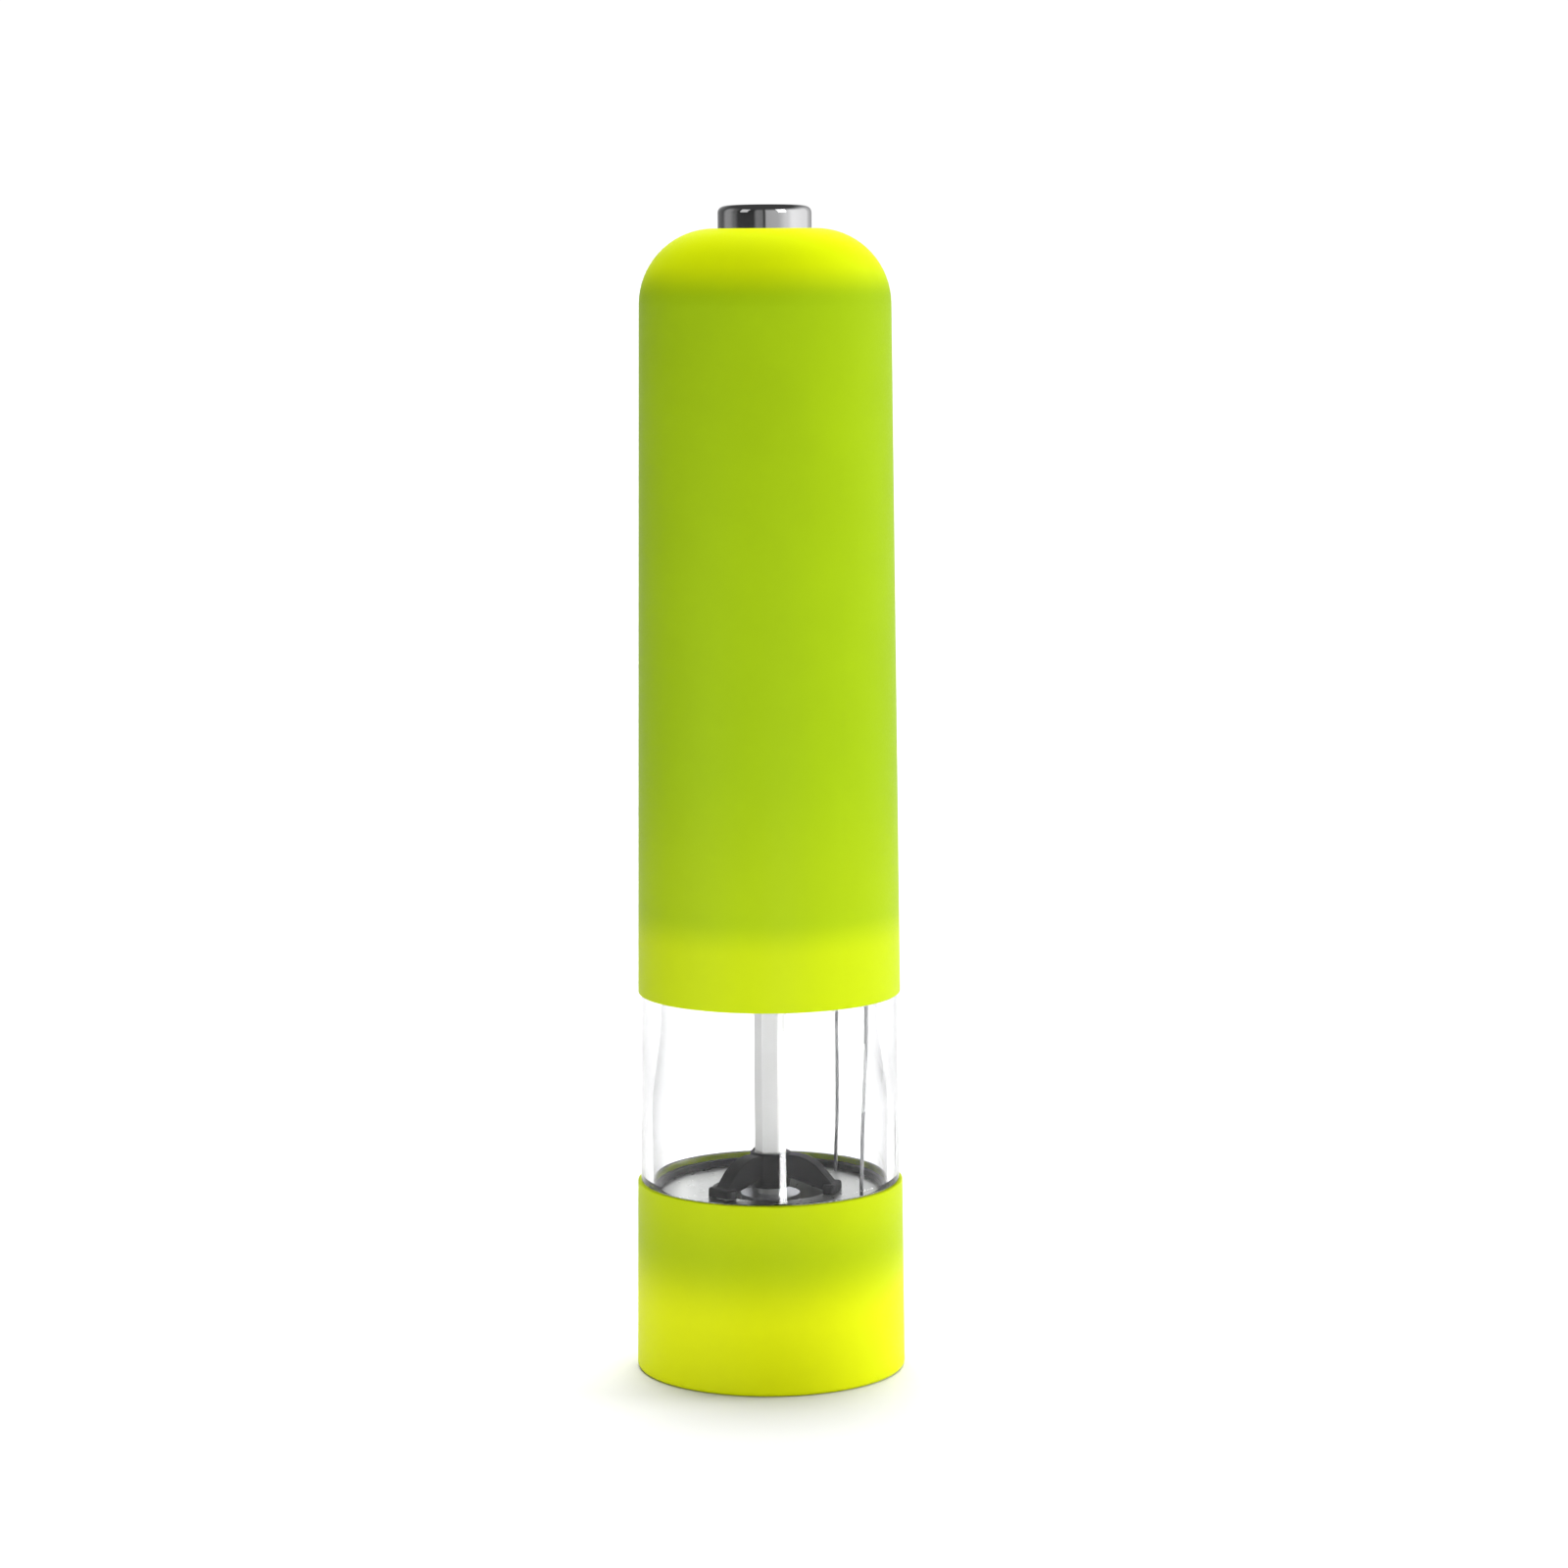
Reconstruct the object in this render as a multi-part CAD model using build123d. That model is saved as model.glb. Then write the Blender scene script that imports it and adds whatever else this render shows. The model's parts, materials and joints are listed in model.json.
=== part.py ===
from build123d import *

import os
from math import acos, atan2, cos, degrees, pi, radians, sin, tan

# Battery pepper mill with a push button on top: one STEP file for each separate piece.
#
# Millimetres, +Z up. The origin is the centre of the base's rim, on the surface that the mill stands on.
# The mill comes apart in three: the base with its clear pepper container, the power unit above it
# (gearbox, motor, batteries and switch), and the long body sleeve that slides over the power unit.

# ---------------------------------------------------------------- driving dimensions

HEIGHT = 219.4  # to the top of the push button
BASE_RADIUS = 25.5  # outside of the base at z = 0
DRAFT = 0.587  # degrees: every outside wall narrows upwards by this much
BASE_TOP = 36.0  # the base sleeve ends and the clear wall begins
WINDOW_TOP = 72.0  # the clear wall ends and the body sleeve begins
DOME_TOP = 215.0  # flat top of the body sleeve
DOME_ROUND = 14.0  # radius of the dome's shoulder
CLEAR_STEP = 0.6  # the clear wall stands back from the coloured walls by this much

SLEEVE_WALL = 1.8
BASE_BORE = 23.4  # inside radius of the base sleeve
FOOT_ROUND = 0.8  # rounding of the rim that the mill stands on
RIM_ROUND = 0.25  # rounding of the two rims beside the clear wall
FIT_GAP = 0.1  # between mouldings that are pushed together

HOUSING_BOTTOM = 4.0  # a ledge inside the base sleeve carries the grinder housing here
CHAMBER_RADIUS = 22.3  # inside of the clear container
SPIGOT_RADIUS = BASE_BORE - FIT_GAP  # lower end of the container, held in the base sleeve
SPIGOT_BOTTOM = 28.0
NECK_RADIUS = 21.9  # upper end of the container, held in the power unit's skirt
NECK_BORE = 20.5
NECK_CURVE = (47.0, 68.0)  # the bore narrows to the neck in one curve between these heights
NECK_TOP = 80.0
KEY_ANGLES = (90, 210, 330)  # three keys stop the power unit turning on the neck
KEY_WIDTH = 3.0
SEAL_HEIGHT = 77.0
SEAL_WIRE = 0.38
SEAL_PROUD = 0.07  # the seal stands out of its groove by this much
SKIRT_GAP = 0.12  # between the neck and the power unit's skirt

# Shaft: a hexagon above, a round journal in the bridge, a smaller hexagon through the burr.
SHAFT_FLATS = 5.0
JOURNAL_RADIUS = 2.35
BURR_FLATS = 4.0
SHAFT_BOTTOM = 12.0
JOURNAL_BOTTOM = 34.2
HUB_TOP = 41.2
SHAFT_TOP = 84.0
RUNNING = 0.05  # radial clearance of every turning fit

# Grinding set.
PLATE_BOTTOM = 33.0
PLATE_TOP = 34.0
PLATE_RADIUS = 20.9
RIM_PROUD = 1.2  # the black rim round the plate stands above it
HOUSING_BORE = 21.5
THROAT_RADIUS = 10.3
THROAT_BOTTOM = 29.6
THROAT_LIP = 0.9  # the plate bends down over this width
BURR_BOTTOM = 10.2
BURR_STEP = 15.0  # fine teeth below, coarse teeth above
BURR_TOP = 27.0
BURR_WIDE = 12.0
BURR_NARROW = 6.2
BURR_GAP = 0.5  # radial gap between the two burrs at the rest setting
OUTER_BURR_RADIUS = 15.95
COARSE_TEETH = 10
FINE_TEETH = 40

# Bridge over the throat: three legs round a hub, each a blade that bends down to a broad foot.
HUB_RADIUS = 3.8
BUSH_RADIUS = 3.0
LEG_ANGLES = (-137, -17, 103)
LEG_WIDTH = 3.4
LEG_DROP = 0.3  # from the hub's top down to the legs' top edge
LEG_LEVEL = 0.6  # the legs' top edge runs level for this far out of the hub
LEG_BEND = 8.0  # radius of that edge's bend
LEG_SLOPE = 52.0  # degrees below level at the end of the bend
LEG_DEPTH = 4.4  # of the blade beside the hub
TOE_DEPTH = 1.2
LEG_REACH = 13.4
FOOT_WIDTH = 6.2
FOOT_LENGTH = 2.4
FOOT_HEIGHT = 1.8

# Lamp circuit: two bare rods down the inside of the chamber, and an LED at the bottom.
# The rods rise straight through the floor plate, then lean a little as far as the neck.
ROD_RADIUS = 0.35
ROD_FEET = ((12.9, 14.4), (16.9, -8.0))
ROD_TOPS = ((13.7, 13.9), (18.0, -5.2))
ROD_BEND = 35.5
STRIP_BOTTOM = 8.0
STRIP_TOP = 8.4
STRIP_CIRCLE = 19.05
STRIP_WIDTH = 1.5
LAMP_ANGLE = 18.0
LAMP_CIRCLE = 19.35

# Adjuster under the burr.
KNOB_RADIUS = 8.5
KNOB_BOTTOM = 0.9
KNOB_TOP = 5.0
STUD_RADIUS = 2.95
WASHER_BOTTOM = 9.5
BRIDGE_ARM_ANGLES = (78, 198, 318)
BOTTOM_SCREW_ANGLES = (78, 198, 318)
BOTTOM_SCREW_CIRCLE = 19.3

# Two-stage planetary gearbox, one long ring gear.
MODULE = 0.5
PRESSURE_ANGLE = 25.0
SUN_TEETH = 12
PLANET_TEETH = 18
RING_TEETH = 48
BACKLASH = 0.07  # taken off each gear's tooth thickness
ADDENDUM = 0.85 * MODULE
DEDENDUM = 1.15 * MODULE
PLANET_CIRCLE = MODULE * (SUN_TEETH + PLANET_TEETH) / 2
PLANET_ANGLES = (0, 120, 240)
PIN_RADIUS = 1.5
CARRIER_RADIUS = 10.8

SCREW_HOLE = 0.95  # radius of the hole that a small screw cuts its thread in
SCREW_WAY = 1.1  # radius of the hole that it passes through
SCREW_HEAD_HEIGHT = 1.3
SCREW_LENGTH = 7.0  # of the power unit's screws, under the head
UNIT_SCREW_ANGLES = (30, 150, 270)
UNIT_SCREW_CIRCLE = 18.0
MOTOR_SCREW_OFFSET = 8.0

UNIT_RADIUS = 22.6  # everything on the power unit stays inside this
UNIT_PLATE_BOTTOM = 80.3
UNIT_PLATE_TOP = 83.0
PAD_RADIUS = 0.8  # of the two sprung pins that meet the lamp's rods
GEARBOX_BORE = 16.6
GEARBOX_RADIUS = 18.2
GEARBOX_TOP = 103.5
SOCKET_BOTTOM = 74.0
SOCKET_RADIUS = 4.6

MOTOR_RADIUS = 12.2
MOTOR_FLATS = 20.4
MOTOR_TOP = 131.5
MOTOR_SHAFT = 1.0
FRAME_RADIUS = 20.4
FRAME_TOP = 136.0
LEAD_BOTTOM = 133.6
CRADLE_SCREWS = ((0, 17.2), (0, -17.2))

# AA cells in a two by two cradle, alternate cells upside down.
CELL_RADIUS = 7.1
CELL_LENGTH = 49.2
CELL_NUB = 1.3
CELL_OFFSET = 7.7
CRADLE_RADIUS = 20.6
CRADLE_FLOOR = 138.0
CRADLE_CEILING = 192.4
CRADLE_TOP = 194.4
CONTACT = 0.4  # thickness of every contact strip
CELL_SPRING = 3.0

# Push button.
BUTTON_RADIUS = 8.8
BUTTON_HOLE = 8.95
CAP_ROUND = 1.6
CAP_WALL = 1.1
CAP_ROOF = 1.6
DISH_RADIUS = 60.0  # hollow of the cap's top
DISH_DEPTH = 0.25
FLANGE_RADIUS = 10.6
RETAINER_TOP = 208.2
RETAINER_BOTTOM = 207.0
BOSS_CIRCLE = 13.6
BOSS_ANGLES = (60, 180, 300)
SWITCH_TOP = 201.0
PLUNGER_TOP = 206.4
STEM_RADIUS = 3.0
STEM_DISC = 1.2  # thickness of the stem's head inside the cap


# ---------------------------------------------------------------- helpers


def outside(z):
    """Outside radius of the coloured walls at height z."""
    return BASE_RADIUS - z * tan(radians(DRAFT))


def rod(radius, low, high, at=(0, 0)):
    """A round bar from height low to height high."""
    bar = Cylinder(radius, high - low, align=(Align.CENTER, Align.CENTER, Align.MIN))
    return Pos(at[0], at[1], low) * bar


def tube(outer, inner, low, high, at=(0, 0)):
    return rod(outer, low, high, at) - rod(inner, low - 1, high + 1, at)


def block(x, y, z):
    """A box between two values along each axis."""
    size = [b - a for a, b in (x, y, z)]
    return Pos(x[0], y[0], z[0]) * Box(*size, align=(Align.MIN, Align.MIN, Align.MIN))


def polar(radius, angle):
    return (radius * cos(radians(angle)), radius * sin(radians(angle)))


def lathe(*points):
    """Turns an outline of (radius, height) points round the Z axis."""
    return revolve(Plane.XZ * make_face(Polyline(*points, close=True)), Axis.Z)


def hexagon_bar(flats, low, high):
    """A hexagonal bar with two corners on the X axis."""
    corners = [polar(flats / 2 / cos(radians(30)), 60 * i) for i in range(6)]
    return Pos(0, 0, low) * extrude(make_face(Polyline(*corners, close=True)), high - low)


def turned(shape, angle):
    return Rot(0, 0, angle) * shape


def fused(shapes):
    """One solid from overlapping shapes."""
    whole = None
    for shape in shapes:
        whole = shape if whole is None else whole + shape
    return whole


def group(shapes):
    """Separate solids that share one node."""
    return Compound(children=[s for shape in shapes for s in shape.solids()])


def pan_screw(x, y, head_low, length, up=True, head=2.0, shank=0.95, head_height=SCREW_HEAD_HEIGHT):
    """A cross-recessed screw. up says that the shank points up from the head."""
    screw = rod(head, 0, head_height) + rod(shank, head_height, head_height + length)
    screw = fillet(screw.edges().sort_by(Axis.Z)[0], 0.5)
    for angle in (0, 90):
        slot = block((-1.1, 1.1), (-0.22, 0.22), (-1, 0.7))
        screw = screw - turned(slot, angle)
    if not up:
        screw = Rot(180, 0, 0) * screw
    return Pos(x, y, head_low if up else head_low + head_height) * screw


def coil(radius, wire, low, high, turns, end_radius=None):
    """A round-wire spring standing from low to high."""
    end_radius = radius if end_radius is None else end_radius
    travel = high - low - 2 * wire
    lean = degrees(atan2(end_radius - radius, travel))
    spine = Helix(travel / turns, travel, radius, cone_angle=lean)
    start = Plane(origin=spine @ 0, z_dir=spine % 0)
    return Pos(0, 0, low + wire) * sweep(start * Circle(wire), path=spine, is_frenet=True)


# ---------------------------------------------------------------- gears


def half_tooth(teeth, radius, thinning):
    """Half the angle of an involute tooth at a radius, in radians."""
    pitch = MODULE * teeth / 2
    base = pitch * cos(radians(PRESSURE_ANGLE))

    def involute(at):
        angle = acos(min(1.0, base / at))
        return tan(angle) - angle

    at_pitch = pi / 2 / teeth - thinning / 2 / pitch
    return at_pitch + involute(pitch) - involute(max(radius, base))


def gear_face(teeth, root, tip, thinning, first=0.0):
    """Outline of a spur gear with a tooth at the angle first, in degrees."""
    pitch = MODULE * teeth / 2
    base = max(root + 0.01, pitch * cos(radians(PRESSURE_ANGLE)))
    heights = (root, base, pitch, (pitch + tip) / 2, tip)
    outline = []
    for i in range(teeth):
        middle = radians(first) + 2 * pi * i / teeth
        for side, flank in ((-1, heights), (1, reversed(heights))):
            for r in flank:
                angle = middle + side * half_tooth(teeth, r, thinning)
                outline.append((r * cos(angle), r * sin(angle)))
    return make_face(Polyline(*outline, close=True))


def spur_gear(teeth, low, high, first=0.0):
    pitch = MODULE * teeth / 2
    face = gear_face(teeth, pitch - DEDENDUM, pitch + ADDENDUM, BACKLASH, first)
    return Pos(0, 0, low) * extrude(face, high - low)


def ring_gear():
    """Internal gear, with one of its teeth on the X axis."""
    pitch = MODULE * RING_TEETH / 2
    spaces = gear_face(RING_TEETH, pitch - ADDENDUM, pitch + DEDENDUM, -BACKLASH, 180 / RING_TEETH)
    low, high = UNIT_PLATE_TOP + 1.2, GEARBOX_TOP - 2.2
    body = rod(GEARBOX_BORE - 0.02, low, high)
    return body - Pos(0, 0, low - 1) * extrude(spaces, high - low + 2)


def planet(angle, low, high):
    """A planet with a space facing the sun and a space facing the ring."""
    gear = spur_gear(PLANET_TEETH, low, high, 180 / PLANET_TEETH)
    gear = gear - rod(PIN_RADIUS + RUNNING, low - 1, high + 1)
    gear = gear - tube(3.2, 2.3, high - 0.6, high + 1)
    return turned(Pos(PLANET_CIRCLE, 0, 0) * gear, angle)


# ---------------------------------------------------------------- base


def base_sleeve():
    """Coloured shell round the grinder, open at both ends."""
    shell = lathe(
        (BASE_BORE, 0),
        (outside(0), 0),
        (outside(BASE_TOP), BASE_TOP),
        (BASE_BORE, BASE_TOP),
        (BASE_BORE, HOUSING_BOTTOM),
        (BASE_BORE - 1.2, HOUSING_BOTTOM),
        (BASE_BORE - 1.2, HOUSING_BOTTOM - 1.6),
        (BASE_BORE, HOUSING_BOTTOM - 2.4),
    )
    rims = [e for e in shell.edges().filter_by(GeomType.CIRCLE) if e.radius > BASE_BORE + 1]
    shell = fillet([e for e in rims if e.center().Z < 1], FOOT_ROUND)
    rims = [e for e in shell.edges().filter_by(GeomType.CIRCLE) if e.radius > BASE_BORE + 1]
    return fillet([e for e in rims if e.center().Z > BASE_TOP - 0.1], RIM_ROUND)


def chamber_space():
    """The space inside the container: straight below, then one smooth curve in to the neck."""
    low, high = NECK_CURVE
    with BuildSketch(Plane.XZ) as half:
        with BuildLine():
            curve = Spline((CHAMBER_RADIUS, low), (NECK_BORE, high), tangents=((0, 1), (0, 1)))
            Polyline(
                curve @ 1,
                (NECK_BORE, NECK_TOP + 1),
                (0, NECK_TOP + 1),
                (0, SPIGOT_BOTTOM - 1),
                (CHAMBER_RADIUS, SPIGOT_BOTTOM - 1),
                curve @ 0,
            )
        make_face()
    return revolve(half.sketch, Axis.Z)


def pepper_container():
    """Clear tube: a spigot below, the visible wall, and a keyed neck above."""
    wall = lathe(
        (SPIGOT_RADIUS, SPIGOT_BOTTOM),
        (SPIGOT_RADIUS, BASE_TOP),
        (outside(BASE_TOP) - CLEAR_STEP, BASE_TOP),
        (outside(WINDOW_TOP) - CLEAR_STEP, WINDOW_TOP),
        (NECK_RADIUS, WINDOW_TOP),
        (NECK_RADIUS, NECK_TOP),
        (0, NECK_TOP),
        (0, SPIGOT_BOTTOM),
    )
    rims = [e for e in wall.edges().filter_by(GeomType.CIRCLE) if e.radius > SPIGOT_RADIUS + 0.2]
    wall = fillet(rims, 0.3) - chamber_space()
    groove_floor = NECK_RADIUS + SEAL_PROUD - 2 * SEAL_WIRE
    groove = tube(NECK_RADIUS + 1, groove_floor, SEAL_HEIGHT - 0.45, SEAL_HEIGHT + 0.45)
    wall = wall - groove
    for angle in KEY_ANGLES:
        key = block((NECK_RADIUS - 0.5, NECK_RADIUS + 0.6), (-KEY_WIDTH / 2, KEY_WIDTH / 2), (72, 75))
        wall = wall + turned(key, angle)
    return wall


def container_seal():
    """Rubber ring in the neck's groove."""
    section = Pos(NECK_RADIUS + SEAL_PROUD - SEAL_WIRE, SEAL_HEIGHT) * Circle(SEAL_WIRE - 0.005)
    return revolve(Plane.XZ * section, Axis.Z)


def lamp_hole(low, high, radius):
    return rod(radius, low, high, polar(LAMP_CIRCLE, LAMP_ANGLE))




def grinder_housing():
    """Moulding inside the base sleeve: two walls, a web between them, and the burr's seat."""
    outer_wall = tube(SPIGOT_RADIUS, HOUSING_BORE, HOUSING_BOTTOM, SPIGOT_BOTTOM)
    rim_radii = (CHAMBER_RADIUS - FIT_GAP, PLATE_RADIUS + FIT_GAP)
    rim = tube(*rim_radii, SPIGOT_BOTTOM - 1.5, PLATE_TOP + RIM_PROUD)
    inner_wall = tube(17.6, 16.0, 6, PLATE_BOTTOM)
    web = tube(HOUSING_BORE + 0.4, 16.5, 6, STRIP_BOTTOM)
    ledge = lathe((THROAT_RADIUS + 0.5, 27.05), (16.5, 27.05), (16.5, 29.0), (THROAT_RADIUS + 0.5, 28.2))
    housing = outer_wall + rim + inner_wall + web + ledge
    for angle in range(98, 309, 30):
        rib = block((17.2, HOUSING_BORE + 0.4), (-0.6, 0.6), (7.5, 27.5))
        housing = housing + turned(rib, angle)
    for angle in BOTTOM_SCREW_ANGLES:
        boss = rod(2.05, 6, 16, polar(BOTTOM_SCREW_CIRCLE, angle))
        housing = housing + boss - rod(SCREW_HOLE, 5, 17, polar(BOTTOM_SCREW_CIRCLE, angle))
    return housing - lamp_hole(5, 9, 1.65)


def star(tip, root, teeth, first):
    """A toothed ring outline whose teeth lean like a ratchet's."""
    points = []
    for i in range(teeth):
        at = first + 360 * i / teeth
        points.append(polar(tip, at))
        points.append(polar(root, at + 0.3 * 360 / teeth))
    return make_face(Polyline(*points, close=True))


def burr_radius(z):
    share = (z - BURR_BOTTOM) / (BURR_TOP - BURR_BOTTOM)
    return BURR_WIDE + (BURR_NARROW - BURR_WIDE) * share


def toothed_cone(low, high, teeth, offset, depth, twist):
    """A cone that follows the burr's taper, with slanting teeth of the given depth."""
    ends = []
    for z, turn in ((low, 0.0), (high, twist)):
        radius = burr_radius(z) + offset
        ends.append(Pos(0, 0, z) * star(radius, radius - depth, teeth, turn))
    return loft(ends, ruled=True)


def inner_burr():
    """Ceramic cone that slides on the shaft's lower hexagon."""
    fine = toothed_cone(BURR_BOTTOM, BURR_STEP, FINE_TEETH, 0, 0.7, 5)
    coarse = toothed_cone(BURR_STEP, BURR_TOP, COARSE_TEETH, 0, 1.7, 24)
    cone = fine + coarse
    return cone - hexagon_bar(BURR_FLATS + 2 * RUNNING, BURR_BOTTOM - 1, BURR_TOP + 1)


def outer_burr():
    """Ceramic ring with teeth on its inside."""
    low, high = 10.0, 27.0
    ring = rod(OUTER_BURR_RADIUS, low, high)
    fine = toothed_cone(low - 0.5, BURR_STEP, FINE_TEETH, BURR_GAP + 0.7, 0.7, -5)
    coarse = toothed_cone(BURR_STEP, high + 0.5, COARSE_TEETH + 4, BURR_GAP + 2.2, 2.2, -20)
    ring = ring - fine - coarse
    for angle in (0, 120, 240):
        ring = ring - turned(block((15.2, 17), (-1, 1), (9, 14)), angle)
    return ring


def funnel_plate():
    """Steel floor of the pepper chamber, turned down into the throat."""
    plate = lathe(
        (PLATE_RADIUS, PLATE_BOTTOM),
        (PLATE_RADIUS, PLATE_TOP),
        (THROAT_RADIUS + THROAT_LIP, PLATE_TOP),
        (THROAT_RADIUS, PLATE_BOTTOM - 0.4),
        (THROAT_RADIUS, THROAT_BOTTOM),
        (THROAT_RADIUS + 0.7, THROAT_BOTTOM),
        (THROAT_RADIUS + 0.7, PLATE_BOTTOM),
    )
    for foot in ROD_FEET:
        plate = plate - rod(ROD_RADIUS + RUNNING, PLATE_BOTTOM - 1, PLATE_TOP + 1, foot)
    return plate


def leg_profile():
    """Side view of one leg: deep beside the hub, bent down to its foot and thinner towards it."""
    top = HUB_TOP - LEG_DROP
    root, crown_end, toe = HUB_RADIUS - 1, HUB_RADIUS + LEG_LEVEL, LEG_REACH - 0.4
    with BuildSketch(Plane.XZ) as side:
        with BuildLine():
            crown = Line((root, top), (crown_end, top))
            arch = JernArc(crown @ 1, (1, 0), LEG_BEND, -LEG_SLOPE)
            shin = Line(arch @ 1, (toe, PLATE_TOP + TOE_DEPTH))
            Polyline(
                shin @ 1,
                (toe, PLATE_TOP + 0.4),
                (toe - FOOT_LENGTH + 0.6, PLATE_TOP + 0.4),
                (crown_end, top - LEG_DEPTH),
                (root, top - LEG_DEPTH),
                (root, top),
            )
        make_face()
    return side.sketch


def shaft_bridge():
    """Black bridge over the throat: a hub for the shaft on three legs with broad feet."""
    bridge = rod(HUB_RADIUS, JOURNAL_BOTTOM + 0.3, HUB_TOP)
    half = FOOT_WIDTH / 2
    foot = block((LEG_REACH - FOOT_LENGTH, LEG_REACH), (-half, half), (PLATE_TOP, PLATE_TOP + FOOT_HEIGHT))
    foot = fillet(foot.edges().filter_by(Axis.Z), 0.8)
    foot = fillet(foot.faces().sort_by(Axis.Z)[-1].edges(), 0.5)
    for angle in LEG_ANGLES:
        leg = extrude(leg_profile(), LEG_WIDTH / 2, both=True)
        bridge = bridge + turned(leg + foot, angle)
    return bridge - rod(BUSH_RADIUS, JOURNAL_BOTTOM - 1, HUB_TOP + 1)


def bridge_bush():
    bore = JOURNAL_RADIUS + RUNNING
    return tube(BUSH_RADIUS, bore, JOURNAL_BOTTOM + 0.3, HUB_TOP - 0.05)


def lamp_contact_rods():
    """Two bare steel rods that carry the lamp's current down the chamber."""
    rods = []
    for foot, top in zip(ROD_FEET, ROD_TOPS):
        path = Polyline((*foot, STRIP_TOP), (*foot, ROD_BEND), (*top, NECK_TOP - 0.2))
        section = Plane(origin=path @ 0, z_dir=(0, 0, 1)) * Circle(ROD_RADIUS)
        rods.append(sweep(section, path=path, transition=Transition.RIGHT))
    return group(rods)


def arc_strip(circle, width, low, high, start, stop):
    """A flat strip bent round the axis between two angles."""
    band = tube(circle + width / 2, circle - width / 2, low, high)
    reach = circle * 2
    middle, half = (start + stop) / 2, (stop - start) / 2
    corners = [polar(reach, middle + side * half) for side in (-1, 0, 1)]
    wedge = make_face(Polyline((0, 0), *corners, close=True))
    return band & (Pos(0, 0, low - 1) * extrude(wedge, high - low + 2))


def lamp_contact_strips():
    """Strips from the rods' feet to the two legs of the LED."""
    gap, past_the_rod = 2.2, 3
    left, right = [degrees(atan2(y, x)) for x, y in ROD_FEET]
    return group([
        arc_strip(STRIP_CIRCLE, STRIP_WIDTH, STRIP_BOTTOM, STRIP_TOP, LAMP_ANGLE + gap, left + past_the_rod),
        arc_strip(STRIP_CIRCLE, STRIP_WIDTH, STRIP_BOTTOM, STRIP_TOP, right - past_the_rod, LAMP_ANGLE - gap),
    ])


def lamp_led():
    """3 mm LED, pointing down: flange, barrel, dome and two legs."""
    led = rod(1.5, 4.0, 7.0) + Pos(0, 0, 4.0) * Sphere(1.5) + rod(1.6, 6.2, 7.0)
    for side in (-1, 1):
        led = led + block((-0.2, 0.2), (side * 1.27 - 0.2, side * 1.27 + 0.2), (6.8, STRIP_BOTTOM))
    return Pos(*polar(LAMP_CIRCLE, LAMP_ANGLE), 0) * turned(led, LAMP_ANGLE)


def bottom_bridge():
    """Closes the housing from below, carries the outer burr and holds the adjuster's thread."""
    flange = tube(HOUSING_BORE - FIT_GAP, 13.9, 4.2, 6.0)
    seat = tube(15.9, 13.9, 5.9, 10.0)
    boss = rod(4.9, 6.2, 9.0)
    bridge = flange + seat + boss
    for angle in BRIDGE_ARM_ANGLES:
        bridge = bridge + turned(block((3.5, 14.6), (-1.7, 1.7), (6.2, 9.0)), angle)
    bridge = bridge - rod(STUD_RADIUS + RUNNING, 0, 20) - lamp_hole(3, 9, 1.65)
    for angle in BOTTOM_SCREW_ANGLES:
        bridge = bridge - rod(SCREW_WAY, 3, 7, polar(BOTTOM_SCREW_CIRCLE, angle))
    return bridge


def bottom_screws():
    return group([pan_screw(*polar(BOTTOM_SCREW_CIRCLE, a), 2.9, 8.0, head=1.9) for a in BOTTOM_SCREW_ANGLES])


# ---------------------------------------------------------------- shaft and adjuster


def drive_shaft():
    upper = hexagon_bar(SHAFT_FLATS, HUB_TOP, SHAFT_TOP)
    tip = Pos(0, 0, SHAFT_TOP - 1.5) * Cone(4.2, 2.2, 1.5, align=(Align.CENTER, Align.CENTER, Align.MIN))
    upper = upper - (rod(5, SHAFT_TOP - 1.5, SHAFT_TOP + 1) - tip)
    journal = rod(JOURNAL_RADIUS, JOURNAL_BOTTOM - 1, HUB_TOP)
    lower = hexagon_bar(BURR_FLATS, SHAFT_BOTTOM, JOURNAL_BOTTOM - 0.5)
    return upper + journal + lower


def spring_collar():
    """Washer clipped on the shaft, for the burr's spring to push from."""
    collar = rod(5.6, 32.2, 33.2)
    return collar - hexagon_bar(BURR_FLATS, 30, 35)


def burr_spring():
    return coil(4.3, 0.4, BURR_TOP, 32.2, 3.5)


def thrust_washer():
    """Steel washer that the burr turns on."""
    return rod(5.5, WASHER_BOTTOM, BURR_BOTTOM - 0.05)


def adjuster_stud():
    """Brass screw moulded into the knob, with its thread as close rings."""
    stud = rod(STUD_RADIUS - 0.35, KNOB_TOP - 2.5, WASHER_BOTTOM)
    pitch = 1.0
    height = KNOB_TOP + 0.3
    while height + pitch < WASHER_BOTTOM - 0.2:
        crest = lathe(
            (STUD_RADIUS - 0.5, height),
            (STUD_RADIUS, height + 0.35),
            (STUD_RADIUS, height + 0.5),
            (STUD_RADIUS - 0.5, height + 0.85),
            (0, height + 0.85),
            (0, height),
        )
        stud = stud + crest
        height += pitch
    return stud


def grind_knob():
    """Fluted knob under the mill, turned to set how fine it grinds."""
    knob = rod(KNOB_RADIUS, KNOB_BOTTOM, KNOB_TOP)
    knob = fillet(knob.edges().filter_by(GeomType.CIRCLE), 0.6)
    flutes = 18
    for i in range(flutes):
        knob = knob - rod(0.55, 0, 10, polar(KNOB_RADIUS + 0.15, 360 * i / flutes))
    knob = knob - tube(6.6, 3.6, -1, KNOB_BOTTOM + 0.7)
    pointer = turned(block((3.0, 7.4), (-0.5, 0.5), (KNOB_BOTTOM, KNOB_BOTTOM + 1.0)), 90)
    return knob + pointer - rod(STUD_RADIUS - 0.35, KNOB_TOP - 2.5, 10)


# ---------------------------------------------------------------- power unit


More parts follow.
